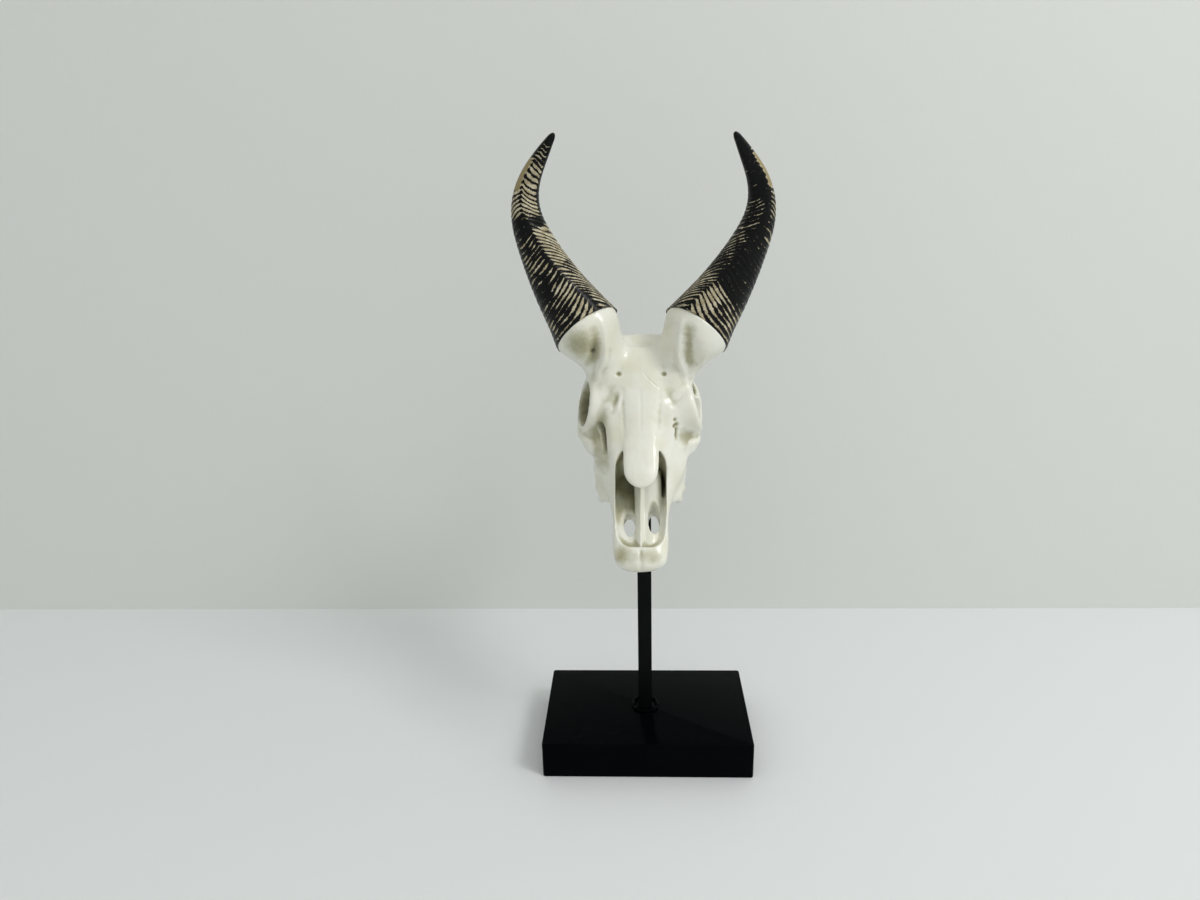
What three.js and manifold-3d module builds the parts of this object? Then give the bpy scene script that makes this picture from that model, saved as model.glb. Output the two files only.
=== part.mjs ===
// A life-size cast resin antelope skull with ringed horns, shown on a square bar over a black block.
// Millimetres, +Z up, the face looks along -Y. The origin is the middle of the block's underside.
import * as THREE from "three";
import { RoundedBoxGeometry } from "three/addons/geometries/RoundedBoxGeometry.js";
import { mergeVertices } from "three/addons/utils/BufferGeometryUtils.js";
import Module from "manifold-3d";

const wasm = await Module();
wasm.setup();

// Driving dimensions of the stand
const block = { width: 180, depth: 116, height: 32.5, edge: 1.6 };
const bar = { side: 12, corner: 1, x: -1.2, top: 290 };
const collar = { inner: 8.9, outer: 13.4, height: 2.6, lip: 0.9 };

// How the skull hangs on the bar: its muzzle tip, and how far the nose is tipped down
const pose = { x: -4.6, y: -80, z: 204, tilt: 33, turn: 0.3, roll: 1 };

// Driving dimensions of the skull. In its own frame x is to the side, y runs back from the muzzle tip
// and z rises from the level of the tooth sockets. The face has a station at every step along y, with
// its floor, its roof, and its half width low down, half way up and high up.
const stationStep = 21;
const faceStations = [
  { floor: -6, roof: 9, low: 16, mid: 19, high: 17 },
  { floor: -5, roof: 15.5, low: 20, mid: 22, high: 21 },
  { floor: -4, roof: 29, low: 20, mid: 22, high: 20 },
  { floor: -3, roof: 41, low: 27, mid: 26.5, high: 19 },
  { floor: -3, roof: 52, low: 36, mid: 36.5, high: 20 },
  { floor: -1, roof: 66.5, low: 31, mid: 36.5, high: 26 },
  { floor: 8, roof: 81, low: 22, mid: 32, high: 39 },
  { floor: 14, roof: 91, low: 18, mid: 28, high: 41 },
  { floor: 20, roof: 86, low: 16, mid: 24, high: 27 },
];
const faceEnds = { muzzle: 8, forehead: 20, square: 3.2 };
const nasal = { tip: 50, root: 128, tipZ: 39, rootZ: 76, halfWidth: 13.4, thick: 5.5, arch: 3 };
const nostril = { front: 13, rear: 82, halfWidth: 19.8, floor: 6, wallTop: 60, power: 3.2 };
const septum = { front: 13, rear: 86, rearZ: 28, halfWidth: 4.2, height: 12, arch: 5 };
const foramen = { x: 9.4, y: 39.5, halfWidth: 4.5, halfLength: 12, power: 2.4 };
const orbit = { x: 47.5, y: 125, z: 53, inX: 13, inY: 128.5, inZ: 43, rim: 22.6, hole: 19.6, clear: 14 };

// Rounded bones on the middle line and on the right side, each with the reach over which it blends in
const braincase = { at: [0, 163, 49.5], radii: [31, 39, 32], slope: 38, blend: 14 };
const nape = { at: [0, 189, 36], radii: [26, 9, 24], slope: 12, blend: 9 };
const skullBase = { at: [0, 165, 18], radii: [11, 31, 9], blend: 9 };
const condyle = { at: [10, 195, 14], radii: [6.5, 9, 8], blend: 4 };
const bulla = { at: [18, 166, 14], radii: [8, 13, 10], blend: 4 };
const brow = { at: [23, 141, 67], radii: [18, 20, 19], blend: 12 };
const cheek = { at: [29, 109, 31], radii: [10, 24, 14], blend: 12 };
const socket = { at: [30, 130, 54], radii: [16, 21, 21], blend: 8 };
const roundBones = [braincase, nape, skullBase, condyle, bulla, brow, cheek, socket];
const gum = { from: [26, 63, 3], to: [30.5, 121, 6], start: 6, end: 7.5, blend: 7 };
const pedicel = { foot: [16, 146, 54], neck: [31, 151.5, 83], footRadius: 24, neckRadius: 20, blend: 12 };

// Hollows: the inside of the nose, the roof of the mouth, the throat, the hole for the spine, and on the
// right side the slit before the eye and the small hole of the forehead
const noseInside = { at: [0, 86, 27], radii: [14, 26, 14], power: 2.4 };
const palate = { at: [0, 84, -5], radii: [17, 36, 10], power: 2.6 };
const throat = { at: [0, 134, 8], radii: [9, 20, 16], power: 2.4, turn: [30, 0, 0] };
const spineHole = { at: [0, 200, 22], radii: [8.5, 18, 8.5], around: 12, along: 8 };
const slit = { at: [28, 95, 46.5], radii: [5, 15, 5], turn: [30, 0, -20], around: 10, along: 8 };
const browHole = { at: [17.4, 129, 82], radii: [1.4, 1.4, 5], around: 8, along: 6 };

const arch = {
  path: [[34, 98, 20], [46.5, 114, 26], [47.5, 140, 37], [40, 160, 42], [28, 172, 40]],
  thin: 3, thick: 5, halfHeight: 5.2,
};
const hook = { path: [[19, 182, 30], [22, 187, 10], [21, 185, -8]], width: [6, 2.5], height: [9, 3] };
const teeth = {
  count: 6, premolars: 3, first: 68, last: 122, firstX: 29.5, lastX: 31, bow: 2.5, size: 5, grow: 1.35,
  crown: 8, lobe: 0.72, taper: 0.86,
};
const horn = {
  x: 43, y: 158.3, z: 101.8, lean: 30, radius: 27.8, length: 165, below: 24, splay: 38.5, rootTurn: 8,
  curl: 32, tipCurl: 43, sag: 6, hook: 27, taper: 1.1, tipFull: 0.42, keel: 0.06, keelSpan: 0.7,
  keelTurn: [-1.07, 0.03], rings: 18, ringed: 0.8, ringFade: 0.15, ridge: 0.45, tip: 0.03,
};
const rim = { x: 0.57, y: 0.73, z: 0.38, overhang: 0.8, pastFoot: 20, narrowing: 4.3 };
const gap = 0.3;

// How finely the skin over the bones is drawn, and the line its rings stand on
const skinMesh = { around: 44, along: 48, from: 115, evenPasses: 6, slopeStep: 0.2 };
const skinSpine = [[0, 0.3, 2], [0, 42, 13], [0, 84, 25], [0, 126, 43], [0, 160, 50], [0, 197, 36]];

// Plain finishes of the pieces
const resin = new THREE.MeshStandardMaterial({ color: 0xdfe0d6, roughness: 0.35, metalness: 0 });
const hornPaint = new THREE.MeshStandardMaterial({ color: 0x17150f, roughness: 0.4, metalness: 0 });
const blackSteel = new THREE.MeshStandardMaterial({ color: 0x0b0c0d, roughness: 0.45, metalness: 0.4 });
const blackLacquer = new THREE.MeshStandardMaterial({ color: 0x08090a, roughness: 0.25, metalness: 0 });

const radians = THREE.MathUtils.degToRad;
const vector = (x, y, z) => new THREE.Vector3(x, y, z);
const mix = THREE.MathUtils.lerp;
const smoothstep = THREE.MathUtils.smoothstep;

// Solids and meshes
function merged(geometry) {
  const bare = geometry.clone();
  bare.deleteAttribute("normal");
  bare.deleteAttribute("uv");
  return mergeVertices(bare, 1e-4);
}

function solidOf(geometry) {
  const whole = merged(geometry);
  return new wasm.Manifold(
    new wasm.Mesh({
      numProp: 3,
      vertProperties: new Float32Array(whole.attributes.position.array),
      triVerts: new Uint32Array(whole.index.array),
    }),
  );
}

function geometryOf(solid) {
  const mesh = solid.getMesh();
  return new THREE.BufferGeometry()
    .setAttribute("position", new THREE.BufferAttribute(new Float32Array(mesh.vertProperties), 3))
    .setIndex(new THREE.BufferAttribute(new Uint32Array(mesh.triVerts), 1));
}

function largestOf(solid) {
  return solid.decompose().reduce((best, body) => (body.volume() > best.volume() ? body : best));
}

// A ball with a radius for each axis. A power above 2 squares it off.
function ball({ at, radii, power = 2, turn = [0, 0, 0], around = 14, along = 10 }) {
  const geometry = new THREE.SphereGeometry(1, around, along);
  const place = geometry.attributes.position;
  const point = vector();
  for (let i = 0; i < place.count; i++) {
    point.fromBufferAttribute(place, i);
    const norm = ["x", "y", "z"].reduce((sum, axis) => sum + Math.abs(point[axis]) ** power, 0);
    point.multiplyScalar(norm ** (-1 / power)).multiply(vector(...radii));
    place.setXYZ(i, ...point);
  }
  geometry.rotateX(radians(turn[0])).rotateY(radians(turn[1])).rotateZ(radians(turn[2]));
  return solidOf(geometry.translate(...at));
}

// A closed body along a curve. The section gives the offset to the side and up for a share of the way
// along and an angle round, and the two ends close in as quarter rounds of the given shares.
function sweep({ path, section, up = vector(0, 0, 1), around = 16, along = 16, caps = [0.15, 0.15] }) {
  const geometry = new THREE.SphereGeometry(1, around, along);
  const place = geometry.attributes.position;
  const point = vector();
  for (let i = 0; i < place.count; i++) {
    point.fromBufferAttribute(place, i);
    const t = THREE.MathUtils.clamp(mix(Math.acos(THREE.MathUtils.clamp(point.y, -1, 1)) / Math.PI,
      (1 - point.y) / 2, 0.5), 0, 1);
    const close = quarterRound(t / caps[0]) * quarterRound((1 - t) / caps[1]);
    const ahead = path.getTangent(t);
    const side = up.clone().cross(ahead).normalize();
    const rise = ahead.clone().cross(side);
    const [a, b] = section(t, Math.atan2(point.z, point.x));
    const middle = path.getPoint(t);
    middle.addScaledVector(side, a * close).addScaledVector(rise, b * close);
    place.setXYZ(i, ...middle);
  }
  return solidOf(geometry);
}

const oval = (halfWidth, halfHeight) => (t, angle) => [
  halfWidth(t) * Math.cos(angle),
  halfHeight(t) * Math.sin(angle),
];
const curve = (...points) => new THREE.CatmullRomCurve3(points.map((p) => vector(...p)));

// Both sides of a piece that is made for one side
function pair(make) {
  const right = make();
  return right.add(right.mirror([1, 0, 0]));
}

// How far a point lies outside a bone, negative inside it. Points are read on the right side.
function ballDistance(point, { at, radii, slope = 0 }) {
  const near = point.clone().sub(vector(...at)).applyAxisAngle(vector(1, 0, 0), radians(slope));
  const scaled = near.divide(vector(...radii));
  const once = scaled.length();
  const twice = scaled.divide(vector(...radii)).length();
  return (once * (once - 1)) / Math.max(twice, 1e-6);
}

function stalkDistance(point, from, to, start, end) {
  const line = new THREE.Line3(vector(...from), vector(...to));
  const share = line.closestPointToPointParameter(point, true);
  return line.at(share, vector()).distanceTo(point) - mix(start, end, share);
}

const quarterRound = (share) => (share >= 1 ? 1 : Math.sqrt(Math.max(0, 1 - (1 - share) ** 2)));
const faceLength = stationStep * (faceStations.length - 1);
const faceHeights = new THREE.SplineCurve(faceStations.map((s) => new THREE.Vector2(s.floor, s.roof)));
const faceWidths = new THREE.SplineCurve(faceStations.map((s) => new THREE.Vector2(s.low, s.high)));
const faceMiddles = new THREE.SplineCurve(faceStations.map((s) => new THREE.Vector2(s.mid, s.mid)));

// The long body of the face, from the muzzle tip to the back of the forehead
function faceDistance(point) {
  const { muzzle, forehead, square } = faceEnds;
  const share = THREE.MathUtils.clamp(point.y / faceLength, 0, 1);
  const ends = quarterRound(point.y / muzzle) * quarterRound((faceLength - point.y) / forehead);
  const close = Math.max(ends, 0.05);
  const height = faceHeights.getPoint(share);
  const width = faceWidths.getPoint(share);
  const middle = faceMiddles.getPoint(share).x;
  const up = point.z - (height.x + height.y) / 2;
  const tall = ((height.y - height.x) / 2) * close;
  const rise = THREE.MathUtils.clamp(up / tall, -1, 1);
  const wide = (rise < 0 ? mix(middle, width.x, -rise) : mix(middle, width.y, rise)) * close;
  const scaled = (Math.abs(point.x / wide) ** square + Math.abs(up / tall) ** square) ** (1 / square);
  return Math.max((scaled - 1) * Math.min(wide, tall), -point.y, point.y - faceLength);
}

// The bones of the skull flow into one another over the reach given for each
function boneDistance(point) {
  const near = vector(Math.abs(point.x), point.y, point.z);
  const parts = [
    ...roundBones.map((bone) => [ballDistance(near, bone), bone.blend]),
    [stalkDistance(near, gum.from, gum.to, gum.start, gum.end), gum.blend],
    [stalkDistance(near, pedicel.foot, pedicel.neck, pedicel.footRadius, pedicel.neckRadius), pedicel.blend],
  ];
  return parts.reduce((least, [distance, reach]) => {
    const share = THREE.MathUtils.clamp(0.5 + (0.5 * (distance - least)) / reach, 0, 1);
    return mix(distance, least, share) - reach * share * (1 - share);
  }, faceDistance(near));
}

// A point slid along the steepest way to the surface of the bones
function settle(point) {
  const step = skinMesh.slopeStep;
  for (let turn = 0; turn < 2; turn++) {
    const slope = vector(...["x", "y", "z"].map((axis) => {
      const [ahead, behind] = [point.clone(), point.clone()];
      ahead[axis] += step;
      behind[axis] -= step;
      return (boneDistance(ahead) - boneDistance(behind)) / (2 * step);
    }));
    point.addScaledVector(slope, -boneDistance(point) / Math.max(slope.lengthSq(), 0.04));
  }
  return point;
}

// The skin over all the bones: rings along the middle of the skull, each drawn in from outside, then
// evened out over the surface
function skin() {
  const rings = merged(new THREE.SphereGeometry(1, skinMesh.around, skinMesh.along));
  const place = rings.attributes.position;
  const spine = curve(...skinSpine);
  let points = [...Array(place.count).keys()].map((i) => {
    const point = vector().fromBufferAttribute(place, i);
    const t = Math.acos(THREE.MathUtils.clamp(point.y, -1, 1)) / Math.PI;
    const ahead = spine.getTangent(t);
    const side = vector(0, 0, 1).cross(ahead).normalize();
    const rise = ahead.clone().cross(side);
    const angle = Math.atan2(point.z, point.x);
    const outward = side.multiplyScalar(Math.cos(angle)).addScaledVector(rise, Math.sin(angle));
    const middle = spine.getPoint(t);
    let reach = Math.abs(point.y) > 0.9999 ? 0 : skinMesh.from;
    for (let turn = 0; turn < 90 && reach > 0; turn++) {
      const distance = boneDistance(middle.clone().addScaledVector(outward, reach));
      if (distance < 0.02) break;
      reach = Math.max(0, reach - 0.7 * distance);
    }
    return middle.addScaledVector(outward, reach);
  });
  const beside = points.map(() => new Set());
  const corners = rings.index.array;
  for (let i = 0; i < corners.length; i++) {
    beside[corners[i]].add(corners[i - (i % 3) + ((i + 1) % 3)]);
    beside[corners[i - (i % 3) + ((i + 1) % 3)]].add(corners[i]);
  }
  for (let pass = 0; pass < skinMesh.evenPasses; pass++) {
    points = points.map((point, i) => {
      const sum = [...beside[i]].reduce((total, j) => total.add(points[j]), vector());
      return settle(sum.divideScalar(beside[i].size));
    });
  }
  points.forEach((point, i) => place.setXYZ(i, ...point));
  return solidOf(rings);
}

// Pieces of bone with an edge of their own: the cheek arch behind each eye, the hooks beside the neck
// joint, the rims of the eyes and the horn stalks
function freeBones() {
  const arches = pair(() =>
    sweep({
      path: curve(...arch.path),
      section: oval((t) => mix(arch.thin, arch.thick, 2 * Math.abs(t - 0.5)), () => arch.halfHeight),
      around: 10, along: 14,
    }),
  );
  const hooks = pair(() =>
    sweep({
      path: curve(...hook.path),
      section: oval((t) => mix(...hook.width, t), (t) => mix(...hook.height, t)),
      up: vector(0, 1, 0), around: 8, along: 8,
    }),
  );
  const rims = pair(() =>
    sweep({
      path: new THREE.LineCurve3(orbitInside, orbitMiddle),
      section: oval(() => orbit.rim, (t) => mix(orbit.rim + 3, orbit.rim, t)),
      around: 24, along: 9, caps: [0.3, 0.14],
    }),
  );
  return [arches, hooks, rims, pedicels()];
}

// The bone stalk under each horn, which flares to the horn's rim
function pedicels() {
  const top = vector(horn.x, horn.y, horn.z);
  const flare = [
    pedicel.footRadius - 3, pedicel.neckRadius, horn.radius - rim.overhang, horn.radius - rim.narrowing,
  ];
  const widths = new THREE.SplineCurve(flare.map((r) => new THREE.Vector2(r, 0)));
  return pair(() =>
    sweep({
      path: new THREE.CatmullRomCurve3([
        vector(...pedicel.foot),
        vector(...pedicel.neck),
        top,
        top.clone().addScaledVector(hornAhead, rim.pastFoot),
      ], false, "catmullrom"),
      section: oval((t) => widths.getPoint(t).x, (t) => widths.getPoint(t).x),
      up: vector(0, -1, 0.4), around: 24, along: 16, caps: [0.1, 0.02],
    }),
  );
}

// The hollow of each eye socket
function eyeHollows() {
  const outward = orbitMiddle.clone().sub(orbitInside).normalize();
  const from = orbitInside.clone().addScaledVector(outward, 5.5);
  const to = orbitMiddle.clone().addScaledVector(outward, orbit.clear);
  return pair(() =>
    sweep({
      path: new THREE.LineCurve3(from, to),
      section: oval(
        (t) => mix(orbit.hole - 5, orbit.hole + 1, t),
        (t) => mix(orbit.hole - 6, orbit.hole + 1, t),
      ),
      around: 22, along: 9, caps: [0.5, 0.05],
    }),
  );
}

// The frame of a horn: its root on the skull, and the way it leans
function hornRoot(side) {
  return new THREE.Matrix4()
    .makeTranslation(side * horn.x, horn.y, horn.z)
    .multiply(new THREE.Matrix4().makeRotationX(radians(-horn.lean)));
}

// The middle line of a horn in its own frame: it leans out, curls back in and hooks forward at the tip
function hornLine(side) {
  const steps = 24;
  const step = horn.length / steps;
  const points = [vector(0, 0, 0)];
  for (let i = 0; i < steps; i++) {
    const t = (i + 0.5) / steps;
    const bend = horn.curl * t + horn.tipCurl * smoothstep(t, 0.46, 0.855);
    const out = radians(horn.splay - horn.rootTurn * (1 - smoothstep(t, 0, 0.15)) - bend);
    const forward = radians(horn.hook * t * t - horn.sag * Math.sin(Math.PI * t));
    const ahead = vector(
      side * Math.sin(out) * Math.cos(forward),
      -Math.sin(forward),
      Math.cos(out) * Math.cos(forward),
    );
    points.push(points[i].clone().addScaledVector(ahead, step));
  }
  return new THREE.CatmullRomCurve3(points);
}

const hornAhead = hornLine(1).getTangent(0).transformDirection(hornRoot(1));
const orbitInside = vector(orbit.inX, orbit.inY, orbit.inZ);
const orbitMiddle = vector(orbit.x, orbit.y, orbit.z);

// The cheek teeth of one side: small ones in front, two-lobed ones behind
function toothRow() {
  const { count, premolars, first, last, firstX, lastX, bow, size, grow, crown, lobe, taper } = teeth;
  const places = [...Array(count).keys()].flatMap((i) => (i < premolars ? [i] : [i - 0.25, i + 0.25]));
  const lobes = places.map((place) => {
    const t = place / (count - 1);
    const small = place < premolars - 0.5;
    const radius = size * mix(1, grow, t) * (small ? 1 : lobe);
    const geometry = new THREE.CylinderGeometry(radius, radius * taper, crown * 2, 8).rotateX(Math.PI / 2);
    const x = mix(firstX, lastX, t) + bow * Math.sin(Math.PI * t);
    return solidOf(geometry.scale(small ? 0.8 : 1.25, 1, 1).translate(x, mix(first, last, t), 0));
  });
  return wasm.Manifold.union(lobes);
}

// The two nasal bones, one smooth tongue over the nose opening
function nasalTongue() {
  const { tip, root, tipZ, rootZ, halfWidth, thick, arch } = nasal;
  const middle = [(tip + root) / 2, (tipZ + rootZ) / 2 - arch];
  return sweep({
    path: curve([0, tip, tipZ], [0, ...middle], [0, root, rootZ]),
    section: oval((t) => mix(halfWidth, halfWidth * 0.8, t * t), (t) => thick * mix(0.8, 1, t)),
    around: 16, along: 14, caps: [0.2, 0.5],
  });
}

// What is cut out of the face: the nose opening, the two holes in its floor, the roof of the mouth,
// the slit in front of each eye and the small holes of the forehead
function openings() {
  const { front, rear, halfWidth, floor, wallTop, power } = nostril;
  const nose = ball({
    at: [0, (front + rear) / 2, (floor + wallTop) / 2],
    radii: [halfWidth, (rear - front) / 2, (wallTop - floor) / 2], power, around: 22, along: 14,
  });
  const floorHole = {
    at: [foramen.x, foramen.y, 0], radii: [foramen.halfWidth, foramen.halfLength, 30], power: foramen.power,
    around: 12, along: 8,
  };
  const middle = [noseInside, palate, throat, spineHole].map((hollow) => ball(hollow));
  const sides = [floorHole, slit, browHole].map((hollow) => pair(() => ball(hollow)));
  return [nose, ...middle, ...sides];
}

// The low wall between the two halves of the nose opening
function noseWall() {
  const { front, rear, rearZ, halfWidth, height, arch: rise } = septum;
  const middle = [0, (front + rear) / 2, nostril.floor + rise];
  return sweep({
    path: curve([0, front, nostril.floor], middle, [0, rear, rearZ]),
    section: oval((t) => mix(halfWidth * 1.3, halfWidth, t), (t) => mix(height * 0.45, height, t)),
    around: 10, along: 10, caps: [0.12, 0.1],
  });
}

// The upright hole that the bar is set in, which leans as the skull is tipped
function barSocket() {
  const reach = 120;
  const side = bar.side + 2 * gap;
  const middle = skullGroup.worldToLocal(vector(bar.x, 0, bar.top + gap - reach / 2));
  const upright = skullGroup.quaternion.clone().invert();
  const geometry = new THREE.BoxGeometry(side, side, reach).applyQuaternion(upright);
  return solidOf(geometry.translate(...middle));
}

// The plane that a horn's rim lies in: its normal, and how far it is from the frame's origin
function rimPlane(side) {
  const normal = vector(side * rim.x, rim.y, rim.z).normalize();
  return { normal, reach: normal.dot(vector(side * horn.x, horn.y, horn.z)) };
}

function skullSolid() {
  const bone = wasm.Manifold.union([skin(), ...freeBones(), pair(toothRow)]);
  const flat = [1, -1].reduce((solid, side) => {
    const { normal, reach } = rimPlane(side);
    return solid.trimByPlane(normal.negate().toArray(), -reach);
  }, bone);
  const hollows = wasm.Manifold.union([eyeHollows(), ...openings()]);
  const carved = flat.subtract(hollows).add(nasalTongue()).add(noseWall());
  return largestOf(carved.subtract(barSocket()));
}

// How far the surface of a horn is from its middle line, at a share of the way along and an angle round:
// round at the root and keeled in front, with rings that fade out towards the tip
function hornReach(side, t, angle) {
  const keelAngle = -Math.PI / 2 + side * mix(...horn.keelTurn, t);
  const turn = Math.abs(Math.atan2(Math.sin(angle - keelAngle), Math.cos(angle - keelAngle)));
  const keel = 1 + horn.keel * Math.max(0, 1 - turn / horn.keelSpan);
  const thin = Math.max(1 - t, horn.tip) ** (horn.taper - horn.tipFull * t * t);
  const fade = THREE.MathUtils.clamp((horn.ringed - t) / horn.ringFade, 0, 1);
  const ring = horn.ridge * fade * Math.cos((2 * Math.PI * horn.rings * t) / horn.ringed);
  return horn.radius * thin * keel * quarterRound((1 - t) / horn.tip + 0.1) + ring;
}

// One horn in the skull's frame, made longer at its root and cut off along the rim
function hornSolid(side) {
  const path = hornLine(side);
  const start = path.getTangent(0);
  const rows = new THREE.CylinderGeometry(1, 1, 1, 16, 64);
  const place = rows.attributes.position;
  for (let i = 0; i < place.count; i++) {
    const along = mix(-horn.below, horn.length, 0.5 - place.getY(i));
    const t = Math.max(0, along / horn.length);
    const angle = Math.atan2(place.getZ(i), place.getX(i));
    const onSide = Math.hypot(place.getX(i), place.getZ(i)) > 0.5;
    const reach = onSide ? hornReach(side, t, angle) : 0;
    const ahead = path.getTangent(t);
    const out = vector(0, -1, 0).cross(ahead).normalize();
    const front = ahead.clone().cross(out);
    const point = path.getPoint(t).addScaledVector(start, Math.min(0, along));
    point.addScaledVector(out, -reach * Math.cos(angle)).addScaledVector(front, -reach * Math.sin(angle));
    place.setXYZ(i, ...point);
  }
  const { normal, reach } = rimPlane(side);
  return solidOf(rows.applyMatrix4(hornRoot(side))).trimByPlane(normal.toArray(), reach + gap);
}

// The stand
function blockGeometry() {
  const { width, depth, height, edge } = block;
  return new RoundedBoxGeometry(width, depth, height, 2, edge).translate(0, 0, height / 2);
}

function barGeometry() {
  const half = bar.side / 2 - bar.corner;
  const outline = new THREE.Shape();
  outline.absarc(half, half, bar.corner, 0, Math.PI / 2);
  outline.absarc(-half, half, bar.corner, Math.PI / 2, Math.PI);
  outline.absarc(-half, -half, bar.corner, Math.PI, 1.5 * Math.PI);
  outline.absarc(half, -half, bar.corner, 1.5 * Math.PI, 2 * Math.PI);
  const foot = block.height + gap;
  const rise = { depth: bar.top - foot, bevelEnabled: false, curveSegments: 3 };
  return new THREE.ExtrudeGeometry(outline, rise).translate(bar.x, 0, foot);
}

function collarGeometry() {
  const { inner, outer, height, lip } = collar;
  const profile = [
    new THREE.Vector2(inner, 0),
    new THREE.Vector2(outer, 0),
    new THREE.Vector2(outer, lip),
    new THREE.Vector2((inner + outer) / 2, height * 0.7),
    new THREE.Vector2(inner, height),
    new THREE.Vector2(inner, 0),
  ];
  return new THREE.LatheGeometry(profile, 28).rotateX(Math.PI / 2).translate(bar.x, 0, block.height + gap);
}

function named(name, geometry, material) {
  const mesh = new THREE.Mesh(geometry, material);
  mesh.name = name;
  return mesh;
}

// The assembled piece
const ornament = new THREE.Group();
const skullGroup = new THREE.Group();
skullGroup.position.set(pose.x, pose.y, pose.z);
skullGroup.rotation.set(radians(pose.tilt), radians(pose.roll), radians(pose.turn), "YZX");
ornament.add(skullGroup);
ornament.updateMatrixWorld(true);

skullGroup.add(named("skull", geometryOf(skullSolid()), resin));
for (const [name, side] of [["horn_right", -1], ["horn_left", 1]]) {
  skullGroup.add(named(name, geometryOf(hornSolid(side)), hornPaint));
}
ornament.add(named("stand_base", blockGeometry(), blackLacquer));
ornament.add(named("stand_rod", barGeometry(), blackSteel));
ornament.add(named("stand_collar", collarGeometry(), blackSteel));

export default ornament;
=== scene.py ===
# A life-size cast resin antelope skull with painted horns, shown on a square bar over a black block.
import math

import bmesh
import bpy
import numpy as np
from mathutils import Matrix, Vector
from mathutils.bvhtree import BVHTree
from mathutils.kdtree import KDTree


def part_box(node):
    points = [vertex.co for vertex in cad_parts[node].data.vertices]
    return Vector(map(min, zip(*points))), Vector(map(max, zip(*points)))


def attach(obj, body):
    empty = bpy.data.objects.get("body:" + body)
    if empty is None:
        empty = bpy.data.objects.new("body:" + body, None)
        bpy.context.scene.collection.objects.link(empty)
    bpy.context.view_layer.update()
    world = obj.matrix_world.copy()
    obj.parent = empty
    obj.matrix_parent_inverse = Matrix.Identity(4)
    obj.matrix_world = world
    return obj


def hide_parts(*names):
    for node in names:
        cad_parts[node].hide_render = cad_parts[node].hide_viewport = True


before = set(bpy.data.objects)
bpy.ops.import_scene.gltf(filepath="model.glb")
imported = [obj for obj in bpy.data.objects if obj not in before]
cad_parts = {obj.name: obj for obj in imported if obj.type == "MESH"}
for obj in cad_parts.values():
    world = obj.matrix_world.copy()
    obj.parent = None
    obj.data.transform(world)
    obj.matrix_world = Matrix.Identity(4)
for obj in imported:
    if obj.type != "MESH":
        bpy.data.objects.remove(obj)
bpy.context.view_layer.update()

# The block
# A block of wood, sawn square with its corners and edges eased, under several coats of gloss black lacquer.
# The bar is screwed into it from below, and the ornament stands on its flat underside.
mm = 0.001
block_corner = 2.2 * mm
block_edge = 1.1 * mm
lacquer_black = "#020304"
lacquer_haze = "#050709"
orange_peel = 5.0 * mm
dust_spacing = 2.2 * mm


def add(make, **settings):
    """Adds one primitive with nothing else selected, and gives its object."""
    bpy.ops.object.select_all(action="DESELECT")
    make(**settings)
    return bpy.context.object


def pick(piece, kind, test):
    """Goes into edit mode on a piece, with only the vertices, edges or faces selected that pass a test."""
    bpy.context.view_layer.objects.active = piece
    bpy.ops.object.mode_set(mode="EDIT")
    bpy.ops.mesh.select_mode(type=kind)
    bpy.ops.mesh.select_all(action="DESELECT")
    shape = bmesh.from_edit_mesh(piece.data)
    for item in {"VERT": shape.verts, "EDGE": shape.edges, "FACE": shape.faces}[kind]:
        if test(item):
            item.select_set(True)
    bmesh.update_edit_mesh(piece.data)


def linear(hex_colour):
    """An sRGB hex colour as linear red, green, blue and alpha."""
    parts = [int(hex_colour[i:i + 2], 16) / 255 for i in (1, 3, 5)]
    return (*[p / 12.92 if p <= 0.04045 else ((p + 0.055) / 1.055) ** 2.4 for p in parts], 1)


def node(tree, kind, links=None, **settings):
    """Adds a shader node with its settings, and its sockets' values or links."""
    made = tree.nodes.new("ShaderNode" + kind)
    for name, value in settings.items():
        setattr(made, name, value)
    for socket, value in (links or {}).items():
        if isinstance(value, bpy.types.NodeSocket):
            tree.links.new(value, made.inputs[socket])
        else:
            made.inputs[socket].default_value = value
    return made


def finish(name):
    """An empty material with its surface shader, ready for nodes."""
    material = bpy.data.materials.new(name)
    material.use_nodes = True
    return material, material.node_tree, material.node_tree.nodes["Principled BSDF"]


base_low, base_high = (np.array(corner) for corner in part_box("stand_base"))
block = add(
    bpy.ops.mesh.primitive_cube_add, size=1, location=(base_low + base_high) / 2, scale=base_high - base_low
)
block.name = "stand_block"
bpy.ops.object.transform_apply()
pick(block, "EDGE", lambda e: abs(e.verts[0].co.z - e.verts[1].co.z) > mm)
bpy.ops.mesh.bevel(offset=block_corner, segments=4, affect="EDGES")
pick(block, "EDGE", lambda e: e.calc_face_angle() > 1 and abs(e.verts[0].co.z - e.verts[1].co.z) < 1e-6)
bpy.ops.mesh.bevel(offset=block_edge, segments=3, affect="EDGES")
bpy.ops.object.mode_set(mode="OBJECT")
bpy.ops.object.shade_smooth_by_angle(angle=math.radians(40))

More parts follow.
